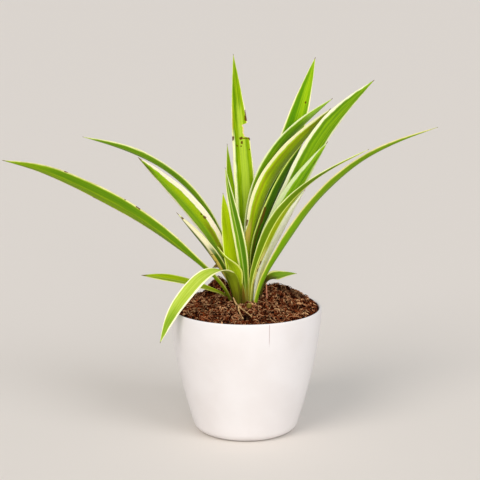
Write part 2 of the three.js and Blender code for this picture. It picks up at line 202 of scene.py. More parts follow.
def splineThrough(points):
    # natural cubic spline, over the length of the straight steps between its points
    points = np.array(points, float)
    steps = np.diff(points, axis=0)
    gaps = np.linalg.norm(steps, axis=1)
    knots = np.concatenate([[0], np.cumsum(gaps)])
    count = len(knots)
    system, right = np.eye(count), np.zeros_like(points)
    inner = np.arange(1, count - 1)
    system[inner, inner - 1] = gaps[:-1]
    system[inner, inner] = 2 * (gaps[:-1] + gaps[1:])
    system[inner, inner + 1] = gaps[1:]
    right[1:-1] = 6 * np.diff(steps / gaps[:, None], axis=0)
    bends = np.linalg.solve(system, right)

    def at(distance):
        i = np.clip(np.searchsorted(knots, distance, side="right") - 1, 0, count - 2)
        b = ((distance - knots[i]) / gaps[i])[:, None]
        a = 1 - b
        square = gaps[i][:, None] ** 2 / 6
        return a * points[i] + b * points[i + 1] + ((a**3 - a) * bends[i] + (b**3 - b) * bends[i + 1]) * square

    return knots[-1], at


def smoothStep(value, low, high):
    part = np.clip((value - low) / (high - low), 0, 1)
    return part * part * (3 - 2 * part)


def unit(vectors):
    return vectors / np.linalg.norm(vectors, axis=-1, keepdims=True)


# The pot

pot = dict(
    height=100, rimRadius=60, baseInset=20, sideCurve=1.58, baseCornerHeight=6.5, wall=2, floor=2.5,
    floorCorner=3, drainRadius=3.5, drainCircle=22, sides=160, sideRings=44, lipRings=12,
    white=(226, 223, 223), shade=(221, 217, 216), roughness=0.34,
    scratch=dict(x=17.6, front=-45, low=80, high=99.2, fade=8, width=0.16, sway=0.4, colour=(176, 152, 152)),
)


def potRadius(z):
    return pot["rimRadius"] - pot["baseInset"] * np.maximum(1 - z / pot["height"], 0) ** pot["sideCurve"]


floorRadius = float(potRadius(pot["floor"])) - pot["wall"] - pot["floorCorner"]


def potProfile():
    # radius and height from the base's corner up the outside, round the lip and down the inside to the floor
    corner = pot["baseCornerHeight"]
    slope = math.atan(float(potRadius(corner + 1) - potRadius(corner - 1)) / 2)
    bend = corner / (1 - math.sin(slope))
    centre = float(potRadius(corner)) - bend * math.cos(slope)
    turn = np.linspace(0, math.pi / 2 - slope, 9)
    foot = np.stack([centre + bend * np.sin(turn), bend * (1 - np.cos(turn))], -1)
    lip = pot["wall"] / 2
    rise = corner + (pot["height"] - lip - corner) * np.linspace(0, 1, pot["sideRings"] + 1)[1:-1]
    outside = np.stack([potRadius(rise), rise], -1)
    turn = np.linspace(0, math.pi, pot["lipRings"] + 1)
    rim = np.stack([pot["rimRadius"] - lip + lip * np.cos(turn), pot["height"] - lip + lip * np.sin(turn)], -1)
    low = pot["floor"] + pot["floorCorner"]
    fall = np.linspace(pot["height"] - lip, low, pot["sideRings"] // 2)[1:]
    inside = np.stack([potRadius(fall) - pot["wall"], fall], -1)
    turn = np.linspace(0, math.pi / 2, 6)[1:]
    reach = inside[-1, 0] - floorRadius
    edge = np.stack([inside[-1, 0] - reach * (1 - np.cos(turn)), low - pot["floorCorner"] * np.sin(turn)], -1)
    return np.concatenate([foot, outside, rim, inside, edge])


def floorPatch(radius, z, directions):
    # a quarter of a round floor: straight lines from the drain hole's circle to the quarter's outline
    sides, across = pot["sides"] // 4, 16
    line = np.linspace(0, radius, across + 1)[:-1]
    arc = np.linspace(0, math.pi / 2, sides + 1)
    outline = np.concatenate([
        np.stack([line, 0 * line], -1), radius * np.stack([np.cos(arc), np.sin(arc)], -1),
        np.stack([0 * line, line[::-1] + line[1]], -1)[1:]])
    middle = np.full(2, pot["drainCircle"] * math.sqrt(0.5))
    if directions is None:
        directions = unit(outline - middle)
    hole = middle + pot["drainRadius"] * directions
    share = np.linspace(0, 1, 7)[:, None, None]
    flat = hole + (outline - hole) * share
    return np.concatenate([flat, np.full(flat.shape[:2] + (1,), z)], -1), directions


def makePot():
    profile = potProfile()
    angle = np.linspace(0, 2 * math.pi, pot["sides"], endpoint=False)
    shell = circles(profile[:, None, 0], profile[:, None, 1], angle)
    points, quads = [shell.reshape(-1, 3)], [gridFaces(len(profile), pot["sides"])]
    count = len(points[0])
    under, directions = floorPatch(profile[0, 0], 0.0, None)
    over, _ = floorPatch(profile[-1, 0], pot["floor"], directions)
    hole = np.stack([under[0], over[0]])
    for quarter in range(4):
        c, s = round(math.cos(quarter * math.pi / 2)), round(math.sin(quarter * math.pi / 2))
        spin = np.array([[c, s, 0], [-s, c, 0], [0, 0, 1]])
        for patch in (under, over, hole):
            points.append((patch @ spin).reshape(-1, 3))
            quads.append(gridFaces(patch.shape[0], patch.shape[1]) + count)
            count += len(points[-1])
    mesh = buildMesh(np.concatenate(points), np.concatenate(quads))
    made = bmesh.new()
    made.from_mesh(mesh)
    bmesh.ops.remove_doubles(made, verts=made.verts, dist=0.00002)
    bmesh.ops.recalc_face_normals(made, faces=made.faces)
    made.to_mesh(mesh)
    made.free()
    return mesh


def potPaint():
    paint = Paint("white_plastic")
    place = paint.place()
    x, y, z = paint.split(place)
    cloud = paint.noise(place, 26, 3)
    grain = paint.noise(place, 900, 2)
    colour = paint.mix(paint.ease(cloud, 0.35, 0.68), pot["white"], pot["shade"])
    scratch = pot["scratch"]
    drift = paint.noise(paint.join(0.0, 0.0, z * 60), 1, 2) - 0.5
    aside = paint.math("ABSOLUTE", x - (scratch["x"] * mm) - drift * (scratch["sway"] * mm))
    line = paint.fade(aside, scratch["width"] * mm, scratch["width"] * mm * 2.4)
    low, high = scratch["low"], scratch["high"]
    span = paint.ease(z, low * mm, (low + scratch["fade"]) * mm)
    span = span * paint.fade(z, high * mm, (high + 0.5) * mm)
    front = paint.fade(y, (scratch["front"] - 5) * mm, scratch["front"] * mm)
    broken = paint.ease(paint.noise(paint.join(0.0, 1.0, z * 400), 1, 2), 0.3, 0.5, 0.45, 1.0)
    mark = line * span * front * broken
    colour = paint.mix(mark * 0.75, colour, scratch["colour"])
    rough = paint.ease(cloud, 0.3, 0.7, pot["roughness"] - 0.05, pot["roughness"] + 0.07) + mark * 0.2
    normal = paint.bump(grain + cloud * 2, 0.00002, 0.5)
    return paint.finish(colour, rough, specular=0.4, Normal=normal)


addPiece("white_pot", makePot(), potPaint(), "pot", "pot")
print("pot made")


# The soil: coir, all crumbs and short fibres

soil = dict(
    edgeHeight=98.2, edgeTilt=1.3, mound=6,
    heaps=(dict(x=27, y=26, height=8, reach=20), dict(x=-21.5, y=23, height=14.5, reach=10)),
    # the hollow's shade colour is painted shade: the coir in and round the dip is darkened to near black for the
    # shadow in it
    hollow=dict(x=-0.3, y=-37, depth=5.5, reach=(4.2, 8), shade=(14, 4, 2)),
    gap=0.5, foot=2.86, footRings=(0.9, 0.45), rings=130, sides=280, sideHeights=(90, 76, 58, 42, 28, 15, 6),
    rough=((6.5, 1.3, 11), (2.6, 1.3, 12), (1.2, 1.0, 13)),  # cell, height and seed of each size of lump
    lattice=96, seed=7,
    crumbs=4200, crumbSize=(0.3, 1.15), crumbReach=55.5,  # reach, how far out from the pot's middle
    fibres=3200, fibreLength=(2.2, 9.5), fibreRadius=(0.1, 0.42), fibreReach=54, fibreLimit=56,
    dark=(7, 0, 0), middle=(138, 64, 30), light=(255, 206, 150),
    # painted shadow: a round dark spot at the back right of the bed; the same colour also darkens the coir at
    # random in blotches all over
    shadowAndDamp=dict(x=37, y=20, reach=13, shade=(24, 8, 3)),
)


def valueNoise(x, y, cell, seed):
    # random heights, 0 to 1, on a square lattice, with smooth ways from one to the next
    size = soil["lattice"]
    table = np.random.default_rng(seed).random((size + 1, size + 1))
    u, v = x / cell + 40, y / cell + 40
    i, j = np.floor(u).astype(int), np.floor(v).astype(int)
    a, b = smoothStep(u - i, 0, 1), smoothStep(v - j, 0, 1)
    i, j = i % size, j % size
    low = table[i, j] * (1 - a) + table[i + 1, j] * a
    high = table[i, j + 1] * (1 - a) + table[i + 1, j + 1] * a
    return low * (1 - b) + high * b


def moundHeight(x, y):
    # an arched mound, its two heaps at the back and slow waves, all fading to the tilted edge
    out = np.minimum(np.hypot(x, y) / pot["rimRadius"], 1)
    heaped = sum(heap["height"] * np.exp(-((x - heap["x"]) ** 2 + (y - heap["y"]) ** 2) / heap["reach"] ** 2)
                 for heap in soil["heaps"])
    waves = 0.7 * np.sin(0.41 * x + 0.9) * np.sin(0.37 * y + 0.4) + 0.5 * np.sin(0.23 * x - 0.53 * y)
    return (soil["edgeHeight"] + soil["edgeTilt"] * y / pot["rimRadius"] + soil["mound"] * (1 - out**2) ** 0.8
            + heaped * (1 - out**8) + waves * (1 - out**6))


def soilHeight(x, y):
    # the mound less its front hollow, with lumps of three sizes that fade out at the pot's wall
    hollow = soil["hollow"]
    apart = ((x - hollow["x"]) / hollow["reach"][0]) ** 2 + ((y - hollow["y"]) / hollow["reach"][1]) ** 2
    lumps = sum(high * (valueNoise(x, y, cell, seed) - 0.5) for cell, high, seed in soil["rough"])
    out = np.minimum(np.hypot(x, y) / pot["rimRadius"], 1)
    return moundHeight(x, y) - hollow["depth"] * np.exp(-apart) + lumps * (1 - 0.6 * out**10)


def makeSoil():
    # rings from the middle out over the top, then down the pot's inside and in over the floor
    angle = np.linspace(0, 2 * math.pi, soil["sides"], endpoint=False)
    edge = float(potRadius(soil["edgeHeight"])) - pot["wall"] - soil["gap"]
    radius = np.linspace(0, edge, soil["rings"] + 1)[1:, None]
    x, y = radius * np.cos(angle), radius * np.sin(angle)
    top = np.stack([x, y, soilHeight(x, y)], -1)
    height = np.array(soil["sideHeights"])[:, None]
    down = potRadius(height) - pot["wall"] - soil["gap"]
    side = circles(down, height, angle)
    floor = np.array(soil["footRings"])[:, None] * floorRadius
    under = circles(floor, soil["foot"] + 0 * floor, angle)
    grid = np.concatenate([top, side, under])
    middle = soilHeight(np.zeros(1), np.zeros(1))[0]
    points = np.concatenate([grid.reshape(-1, 3), [[0, 0, middle], [0, 0, soil["foot"]]]])
    rows, columns = grid.shape[:2]
    return buildMesh(points, gridFaces(rows, columns)[:, ::-1], capFaces(rows, columns))


def soilPaint(name, fine):
    # fine is the name of the field that holds each crumb's or fibre's own shade, or nothing for the bed
    paint = Paint(name)
    place = paint.place()
    small = paint.noise(place, 900, 3, 0.6)
    warped = paint.noise(place, 380, 3, 0.6)
    tone = small * 0.5 + warped * 0.5 - 0.12
    if fine:
        tone = paint.attribute(fine, "Fac") * 0.8 + small * 0.2
    dark, middle, light = soil["dark"], soil["middle"], soil["light"]
    colour = paint.ramp(tone, (0.0, dark), (0.34, dark), (0.56, middle), (1.0, light))
    # painted shade: the coir is darkened to near black in and round the front hollow, for the shadow that lies in
    # it
    hollow = soil["hollow"]
    x, y, z = paint.split(place)
    reachX, reachY = hollow["reach"][0] * mm, hollow["reach"][1] * mm
    aside = ((x - hollow["x"] * mm) / reachX) ** 2 + ((y - hollow["y"] * mm) / reachY) ** 2
    colour = paint.mix(paint.fade(aside, 0.3, 1.2, 0.9), colour, hollow["shade"])
    # painted shadow: a dark spot with a wavering rim at the back right, then random darker blotches all over in the
    # same colour
    shadowAndDamp = soil["shadowAndDamp"]
    reach = shadowAndDamp["reach"] * mm
    shadowApart = ((x - shadowAndDamp["x"] * mm) / reach) ** 2 + ((y - shadowAndDamp["y"] * mm) / reach) ** 2
    cloud = paint.noise(place, 70, 2)
    for mask in (paint.fade(shadowApart + (cloud - 0.5) * 1.5, 0.2, 1.1, 0.6), paint.fade(cloud, 0.42, 0.6, 0.16)):
        colour = paint.mix(mask, colour, shadowAndDamp["shade"])
    normal = paint.bump(small + warped * 1.5, 0.0006, 0.8)
    return paint.finish(colour, roughness=0.95, specular=0.04, Normal=normal)


def strewn(rng, count, reach):
    # places spread evenly over a round of that radius
    radius = reach * rng.random(count) ** 0.5
    angle = 2 * math.pi * rng.random(count)
    return radius * np.cos(angle), radius * np.sin(angle)


def makeCrumbs():
    # stretched and dented twenty-sided grains, turned at random and sunk a little in the bed
    rng = np.random.default_rng(soil["seed"])
    golden = (1 + 5**0.5) / 2
    corner = np.array([[-1, golden, 0], [1, golden, 0], [-1, -golden, 0], [1, -golden, 0], [0, -1, golden],
                       [0, 1, golden], [0, -1, -golden], [0, 1, -golden], [golden, 0, -1], [golden, 0, 1],
                       [-golden, 0, -1], [-golden, 0, 1]]) / math.hypot(1, golden)
    faces = np.array([[0, 11, 5], [0, 5, 1], [0, 1, 7], [0, 7, 10], [0, 10, 11], [1, 5, 9], [5, 11, 4],
                      [11, 10, 2], [10, 7, 6], [7, 1, 8], [3, 9, 4], [3, 4, 2], [3, 2, 6], [3, 6, 8], [3, 8, 9],
                      [4, 9, 5], [2, 4, 11], [6, 2, 10], [8, 6, 7], [9, 8, 1]])
    count = soil["crumbs"]
    x, y = strewn(rng, count, soil["crumbReach"])
    low, high = soil["crumbSize"]
    size = low + (high - low) * rng.random(count) ** 2.6
    stretch = size[:, None] * (0.55 + 0.75 * rng.random((count, 3)))
    turn = np.linalg.qr(rng.normal(size=(count, 3, 3)))[0]
    turn *= np.sign(np.linalg.det(turn))[:, None, None]
    dented = corner * (0.72 + 0.5 * rng.random((count, 12, 1)))
    grains = np.einsum("nij,nkj->nki", turn, dented * stretch[:, None, :])
    grains += np.stack([x, y, soilHeight(x, y) + 0.25 * size], -1)[:, None, :]
    rows = faces[None] + 12 * np.arange(count)[:, None, None]
    shade = np.repeat(0.15 + 0.75 * rng.random(count) ** 1.5, 12)
    return buildMesh(grains, [], rows, {"shade": shade}, smooth=False)


def makeFibres():
    # three-sided threads: each a curved line on the bed with a low lift in its middle
    rng = np.random.default_rng(soil["seed"] + 1)
    count, steps = soil["fibres"], 7
    startX, startY = strewn(rng, count, soil["fibreReach"])
    low, high = soil["fibreLength"]
    length = low + (high - low) * rng.random(count) ** 1.8
    along = np.linspace(-0.5, 0.5, steps) * length[:, None]
    heading = 2 * math.pi * rng.random(count)[:, None] + rng.normal(size=count)[:, None] * along * 0.28
    x, y = startX[:, None] + along * np.cos(heading), startY[:, None] + along * np.sin(heading)
    pull = np.minimum(1, soil["fibreLimit"] / np.maximum(np.hypot(x, y), 1e-6))
    x, y = x * pull, y * pull
    lift = 0.25 + (rng.random(count) ** 2 * 1.6)[:, None] * (1 - (2 * along / length[:, None]) ** 2)
    line = np.stack([x, y, soilHeight(x, y) + lift + 0.2 * rng.normal(size=x.shape)], -1)
    ahead = unit(np.gradient(line, axis=1))
    side = unit(np.cross(ahead, [0, 0, 1.0]))
    up = np.cross(side, ahead)
    thin, thick = soil["fibreRadius"]
    taper = (thin + (thick - thin) * rng.random(count) ** 2)[:, None]
    taper = taper * (1 - 0.6 * (2 * along / length[:, None]) ** 4)
    turn = np.arange(3) * 2 * math.pi / 3
    ring = side[:, :, None] * np.cos(turn)[:, None] + up[:, :, None] * np.sin(turn)[:, None]
    points = line[:, :, None] + ring * taper[:, :, None, None]
    base = np.arange(count)[:, None, None] * 3 * steps
    quads = (gridFaces(steps, 3)[None] + base).reshape(-1, 4)
    last = 3 * (steps - 1)
    caps = (np.array([[0, 2, 1], [last, last + 1, last + 2]])[None] + base).reshape(-1, 3)
    shade = np.repeat(0.3 + 0.75 * rng.random(count) ** 1.6, 3 * steps)
    return buildMesh(points, quads[:, ::-1], caps[:, ::-1], {"shade": shade})


addPiece("coir_soil", makeSoil(), soilPaint("coir", None), "soil", "soil")
loose = soilPaint("coir_loose", "shade")
addPiece("soil_crumbs", makeCrumbs(), loose, "soil")
addPiece("soil_fibres", makeFibres(), loose, "soil")
print("soil made")


# The leaves. The shape words are: spine, points on the midrib; width, in mm; widest, the share of the length
# where it has that width; root, the share of it at the base; taper, the power that the outline closes by past
# the widest place; fold and turn, in degrees at the base and at the tip; turnOver, the shares between which it
# turns; bite, a notch, with its start and end in mm from the tip.
# The colour words are: green, dark and light; margin, the cream bands in mm on the plus and the minus side;
# bare, the share up to which they are missing; streak, the streaks' contrast; midrib and rib, its colour and
# strength; patches, each from share to share, from side to side (-1 to 1), a colour and a strength; marks,
# brown spots, each from a share and side to another, and a radius in mm; brown, their colour; tip, the brown
# tip in mm; edge, the browning of the plus and the minus margin; crown, how strongly the base is darkened
# with painted shade.

blade = dict(thickness=0.8, rows=92, biteRows=34, columns=15, foldSpan=(0, 0.6), rootHeight=96, thinEnd=14,
             tipHalfWidth=0.16, tipThickness=0.35, keel=0.09, ripple=0.012, ripples=(11, 6.3, 3.9),
             wave=0.16, waves=(17, 9), calmBase=(10, 45), seed=100)
plain = dict(widest=0.5, root=0.42, taper=2, fold=(24, 18), turn=(0, 0), turnOver=(0.04, 0.42), bite=None,
             green=((78, 128, 4), (150, 190, 28)), margin=(1.0, 1.0), cream=(247, 241, 190), bare=0, streak=0.9,
             midrib=(190, 206, 66), rib=0.1, patches=(), marks=(), brown=(84, 40, 8), tip=2.2, edge=(0.0, 0.0),
             crown=1.0)
bladeLook = dict(
    creamStreak=(206, 212, 96), youngCream=(226, 230, 90), youngSpan=(20.0, 70.0), border=(186, 206, 50),
    # base: painted shade at the crown; the blades are mixed towards olive and then near-black brown nearer the
    # soil, the olive partly the bases' own browning
    base=((10.0, 46.0, 16, 0.4, (112, 98, 0)), (8.0, 22.0, 8, 0.7, (54, 40, 4))),  # span, waver, strength, colour
    # the bite's pale pinkish colour is a painted highlight along the bitten edge
    biteEdgeHighlight=(232, 196, 150), underside=(160, 186, 80), undersideShare=0.06, grooves=9.0, bump=0.28,
    specular=0.16, specularTint=(206, 224, 110),
)

leaves = {
    "far_left": dict(
        width=14, widest=0.6, taper=2.3, root=0.35, fold=(24, 16), turn=(22, 55),
        spine=((-12.8, 0.1, 104), (-32.8, -3, 131.2), (-74.8, -8, 167.3), (-131, -18, 201.2), (-155, -24, 212.4),
               (-184, -30, 220.4)),
        green=((82, 122, 0), (138, 170, 0)), margin=(0.7, 0.6), cream=(232, 228, 160), tip=4,
        rib=0.3, streak=1.1, midrib=(160, 190, 20),
        patches=((0.2, 0.85, 0.1, 0.75, (66, 116, 0), 0.7), (0.1, 0.9, -1, -0.82, (104, 88, 0), 0.6)),
        marks=((0.65, -1, 0.655, -1, 0.8), (0.5, 0.94, 0.515, 0.97, 0.6), (0.56, 0.96, 0.562, 0.97, 0.5),
               (0.3, -1, 0.33, -0.95, 0.5), (0.78, 1, 0.79, 0.95, 0.4)),
        edge=(0.3, 0.8)),
    "left_arching": dict(
        width=10.5, widest=0.6, fold=(24, 20), turn=(0, 52),
        spine=((-6, 4.2, 105), (-18.2, 15, 149.2), (-41, 27, 184.1), (-89, 46, 215.6), (-133, 60, 227)),
        green=((66, 114, 0), (118, 160, 4)), margin=(0.72, 0.12), rib=0.25, cream=(230, 232, 168),
        patches=((0.1, 1, -1, -0.15, (50, 100, 0), 0.5),)),
    "left_broad": dict(
        width=18, widest=0.55, taper=2.1, fold=(24, 14), turn=(0, 60),
        spine=((-8.2, 2.5, 105), (-18.2, 6, 138), (-44.9, 8, 178.5), (-63.3, 7, 197.8), (-84, 4, 218)),
        green=((96, 148, 0), (146, 188, 4)), margin=(3.7, 1.9), cream=(250, 238, 214), tip=5,
        patches=((0.3, 0.8, 0.1, 0.5, (170, 184, 10), 0.45), (0.34, 0.5, 0.5, 0.7, (176, 196, 30), 0.7),
                 (0.62, 0.8, 0.52, 0.68, (160, 186, 20), 0.6), (0, 0.3, -1, 1, (44, 92, 0), 0.7),
                 (0.88, 1, -1, 0.1, (60, 76, 0), 0.85), (0.14, 0.5, 0.14, 0.5, (104, 96, 4), 0.7)),
        marks=((0.53, 0.54, 0.525, 0.56, 1.25), (0.552, 0.48, 0.55, 0.48, 0.8), (0.3, 0.4, 0.36, 0.36, 0.3)),
        edge=(0.1, 0.2)),
    "left_drying": dict(
        width=8.6, fold=(24, 22), turn=(0, 50),
        spine=((-10.1, 1.4, 105), (-19.8, 1, 131.4), (-33.5, -1, 151.5), (-54, -5, 176)),
        green=((66, 98, 0), (112, 138, 10)), margin=(0.3, 0.2), cream=(246, 238, 200), tip=3,
        patches=((0, 0.6, -0.6, 0.3, (226, 198, 92), 0.95), (0.56, 1, -0.5, 1, (248, 238, 200), 0.95),
                 (0, 0.6, -1, -0.7, (110, 66, 14), 0.95), (0.56, 1, -1, -0.1, (66, 96, 0), 0.95),
                 (0, 0.56, 0.25, 1, (40, 76, 0), 0.95), (0, 0.34, -0.05, 1, (40, 76, 0), 0.95)),
        marks=((0.525, 0.05, 0.53, -0.2, 0.5), (0.93, 0.9, 0.935, 1.1, 1.3), (0.46, -0.2, 0.44, -0.7, 0.5),
               (0.3, -0.5, 0.36, -0.6, 0.4)),
        edge=(0.1, 0.6)),
    "low_left": dict(
        width=12, widest=0.7, taper=1.8, root=0.28, fold=(22, 16), turn=(0, -14),
        spine=((-13.8, 7.4, 103.2), (-25, 10.2, 109.4), (-47, 22, 113.4), (-85, 38, 116.3)),
        green=((106, 138, 0), (160, 184, 6)), margin=(0.6, 0.6), tip=6, cream=(226, 230, 140),
        midrib=(206, 214, 110), rib=0.4),
    "bent_front": dict(
        width=12, widest=0.6, taper=2.2, root=0.47, fold=(20, 10), turn=(65, -40), turnOver=(0.15, 0.55),
        spine=((-6.6, -10.5, 103), (-8.5, -14, 120), (-15, -20, 131.5), (-29.2, -26, 131.7), (-42, -31, 121.5),
               (-55, -36, 104.6), (-66, -38, 80)),
        green=((138, 166, 20), (190, 208, 90)), margin=(1.5, 0.9), cream=(248, 246, 212),
        # painted shade: the rising part, seen from below, is painted a darker olive, and its base near black on
        # both sides
        bare=0.29, patches=((0, 0.34, -1, 1, (116, 134, 0), 0.95), (0, 0.17, -1, 0.3, (54, 46, 2), 0.8),
                            (0, 0.22, 0.5, 1, (44, 38, 2), 0.8), (0.78, 1, -0.7, 0.7, (88, 140, 10), 0.6))),
    "short_crown": dict(
        width=12, widest=0.55, taper=1, root=0.28, fold=(22, 14), turn=(67, 5), turnOver=(0.45, 0.85),
        spine=((-6.6, -6.6, 104), (-7.4, -8.9, 120), (-10.3, -10.8, 134), (-16.2, -12.6, 141.8), (-22.8, -14, 152)),
        green=((138, 166, 0), (184, 206, 20)), margin=(1.1, 0.6), bare=0.38, cream=(242, 250, 160),
        # painted shade: the lower third is painted a dull olive, and near black on its right side where the gap
        # behind lies in shadow
        patches=((0, 0.34, 0.2, 1, (58, 60, 0), 0.85), (0, 0.3, -1, 1, (96, 110, 0), 0.7))),
    "centre_folded": dict(
        width=10, widest=0.45, fold=(28, 28), turn=(40, 50),
        spine=((0.3, -5.2, 104), (-1, -6.7, 124), (-6, -8.7, 158), (-12, -11.6, 187), (-16, -15, 213)),
        green=((78, 130, 0), (128, 172, 10)), margin=(0.9, 1.9), cream=(252, 252, 196),
        # painted shade: the right half of the blade, which faces away from the lamps, is painted a deeper green
        patches=((0, 1, 0.05, 1, (46, 98, 0), 0.75), (0, 0.16, -1, 1, (190, 160, 60), 0.7)), rib=0.6,
        midrib=(196, 212, 110), crown=0.35),
    "upright_short": dict(
        width=14, fold=(22, 14), turn=(-65, -40),
        spine=((-3.8, -1.2, 105), (-9.3, -1.7, 125), (-13.4, -0.7, 153), (-16.2, 1.3, 173), (-18, 4, 190)),
        green=((144, 176, 0), (184, 204, 14)), margin=(0.7, 0.8), streak=0.7, cream=(232, 240, 140)),
    "upright_behind": dict(
        width=9, fold=(24, 15),
        spine=((-3.5, 13, 105), (-6, 25, 148), (-12, 38, 187), (-15, 48, 223)),
        green=((110, 150, 0), (150, 188, 14)), margin=(0.7, 0.2), marks=((0.66, -0.3, 0.662, -0.3, 0.5),)),
    "upright_tall": dict(
        width=17, widest=0.47, fold=(24, 14), bite=dict(start=67.5, end=56.5, depth=4, side=-1),
        spine=((-0.5, 9.5, 105), (0, 19, 150), (-2, 31, 202), (-7, 43, 259), (-10, 50, 295)),
        green=((70, 116, 0), (158, 186, 8)), margin=(0.4, 0.7), streak=1.45,
        patches=((0.3, 0.8, -0.5, 0.2, (190, 216, 70), 0.5), (0.1, 0.68, 0.76, 1, (246, 246, 196), 0.95),
                 (0.68, 0.8, 0.86, 1, (190, 120, 50), 0.5)),
        marks=((0.775, -1, 0.757, -0.96, 0.5), (0.75, -0.95, 0.738, -0.9, 1.5), (0.66, -1, 0.664, -0.92, 1.1),
               (0.672, 0.9, 0.664, 0.95, 1.15), (0.668, -0.1, 0.666, 0.0, 1.3), (0.652, -0.1, 0.648, -0.08, 1.0),
               (0.64, 0.5, 0.638, 0.46, 0.7), (0.636, 0.02, 0.636, 0.0, 0.75), (0.668, 0.1, 0.664, -0.7, 0.4),
               (0.62, -0.8, 0.622, -0.8, 0.5))),
    "right_arch_inner": dict(
        width=12.5, widest=0.6, taper=2.4, turn=(0, -70),
        spine=((0.4, 3.1, 105), (2.8, 12.4, 161), (12, 20.6, 198), (31.5, 27.6, 228.5), (69, 34, 261)),
        green=((76, 128, 0), (148, 190, 4)), margin=(0.4, 1.0), streak=1.3, cream=(226, 234, 180),
        patches=((0.86, 1, -0.6, 1, (134, 176, 60), 0.8), (0.7, 0.86, -0.7, 0.4, (50, 104, 0), 0.6)),
        marks=((0.385, -0.6, 0.35, -0.55, 1.2),)),
    "right_arch_middle": dict(
        width=16.5, widest=0.62, turn=(0, -70),
        spine=((2.4, 2.7, 105), (6.8, 8.1, 166.8), (15.7, 13.6, 194.3), (34.2, 19.1, 220.2), (67, 24, 254)),
        green=((124, 162, 0), (180, 204, 4)), margin=(0.6, 2.5), bare=0.36, streak=1.1,
        patches=((0.3, 1, -0.5, -0.28, (136, 108, 16), 0.5), (0.86, 1, -0.5, 0.3, (104, 76, 6), 0.6),
                 (0.6, 1, -0.5, 1, (104, 128, 0), 0.5),
                 (0.3, 0.37, -1, -0.4, (222, 180, 92), 0.8)),
        cream=(242, 236, 190), marks=((0.372, -1, 0.392, -0.9, 0.9),)),
    "right_arch_outer": dict(
        width=11.3, widest=0.55, turn=(0, -70),
        spine=((4.4, 2.5, 105), (8, 4.8, 146), (17.6, 9.4, 172.7), (28.7, 13, 198.6), (45, 17, 228)),
        # painted shade: its greens are much darker than the other leaves' for a blade standing in shadow behind the
        # fan
        green=((26, 70, 0), (62, 114, 0)), margin=(0.2, 0.6), cream=(216, 230, 120), streak=1.2, brown=(92, 56, 10),
        marks=((0.5, -0.55, 0.58, -0.8, 1.2), (0.33, -0.5, 0.5, -0.6, 0.6), (0.24, -0.6, 0.33, -0.6, 0.35))),
    "right_broad": dict(
        width=18, widest=0.6, fold=(24, 12), turn=(0, -75),
        spine=((6.8, 2.4, 105), (15.3, 4.9, 147), (37.5, 6.5, 193.5), (62.3, 6, 240), (99, 5, 278)),
        green=((70, 122, 0), (140, 182, 4)), margin=(1.7, 2.3), cream=(236, 236, 204), tip=3, streak=1.3,
        patches=((0.3, 0.95, -0.66, -0.4, (52, 104, 0), 0.7), (0.2, 0.5, -1, -0.45, (238, 240, 160), 0.8))),
    "right_short": dict(
        width=14.5, widest=0.55, fold=(24, 15), turn=(0, -70),
        spine=((8.9, 1.3, 105), (15, -1.3, 147.7), (29.2, -4.6, 179), (45, -6.3, 206), (63, -8, 232)),
        green=((74, 130, 0), (140, 184, 20)), margin=(1.8, 3.0), cream=(208, 222, 170), streak=1.2,
        marks=((0.86, 0.3, 0.88, 0.34, 0.25),)),
    "right_front": dict(
        width=11.2, widest=0.4, root=0.2, fold=(24, 20), turn=(-55, -8), turnOver=(0.4, 0.8),
        spine=((3.6, -6.4, 104), (5.6, -8.6, 125), (11.8, -12, 145), (24, -20, 173), (50.2, -28, 203.8),
               (92, -38, 230)),
        green=((134, 156, 0), (172, 188, 4)), margin=(0.9, 0.35), rib=1.0, midrib=(222, 234, 120),
        # painted shade: the dark green on the minus half stands for the shaded inner face of the fold's far half
        patches=((0.05, 0.85, -1, -0.12, (72, 110, 0), 0.85), (0, 0.32, 0.3, 1, (232, 216, 130), 0.85),
                 (0, 0.14, -1, 1, (170, 140, 50), 0.5)), cream=(238, 246, 176), crown=0.4,
        marks=((0.235, 0.72, 0.25, 0.68, 0.8), (0.2, 0.7, 0.212, 0.7, 0.6), (0.12, 0.9, 0.16, 0.9, 0.4))),
    "right_banded": dict(
        width=11, root=0.36, turn=(-30, -50),
        spine=((6.9, -4, 104), (12.4, -6, 134), (24, -10, 160), (35, -14, 180), (45.5, -17, 196)),
        # painted shade: its dark greens, on the strip left of the cream band, stand for shade from the leaves in
        # front
        green=((40, 84, 0), (76, 124, 4)), margin=(5.6, 0.3), cream=(255, 253, 232), crown=0.15,
        patches=((0, 1, -0.62, 1, (255, 253, 232), 1.0),), rib=0.0,
        edge=(0.75, 0.3), brown=(150, 84, 50)),
    "far_right": dict(
        width=9, widest=0.4, root=0.4, fold=(24, 20), turn=(-42, -38),
        spine=((7.8, -9.5, 103), (15, -11, 127), (23.2, -13.6, 142.4), (51, -24, 186), (93, -34, 225),
               (142, -46, 247.5)),
        green=((82, 124, 0), (118, 154, 10)), margin=(0.2, 0.65), edge=(0.8, 0.1), cream=(232, 220, 156),
        crown=0.25, streak=0.7,
        patches=((0.02, 0.42, -0.8, 1, (112, 162, 0), 0.6),)),
    "low_right": dict(
        width=9.8, widest=0.56, taper=1.5, root=0.18, fold=(22, 14), turn=(-50, 36), turnOver=(0.26, 0.56),
        spine=((12, 9, 105), (17.2, 18, 116), (26, 30, 118), (42, 48, 115.6)),
        green=((88, 134, 4), (140, 176, 34)), margin=(1.3, 0.5), bare=0.46,
        # the lower half is painted a deep red-brown: partly its dried base, partly painted shade
        patches=((0, 0.5, -1, 1, (52, 20, 6), 1.0), (0, 0.42, -1, 1, (52, 20, 6), 1.0))),
    "upper_right": dict(
        width=18.6, widest=0.6, fold=(24, 14), turn=(0, 45),
        spine=((6, 11.5, 105), (15.2, 26, 160), (33.4, 42, 219), (47, 51, 262), (56, 56, 292)),
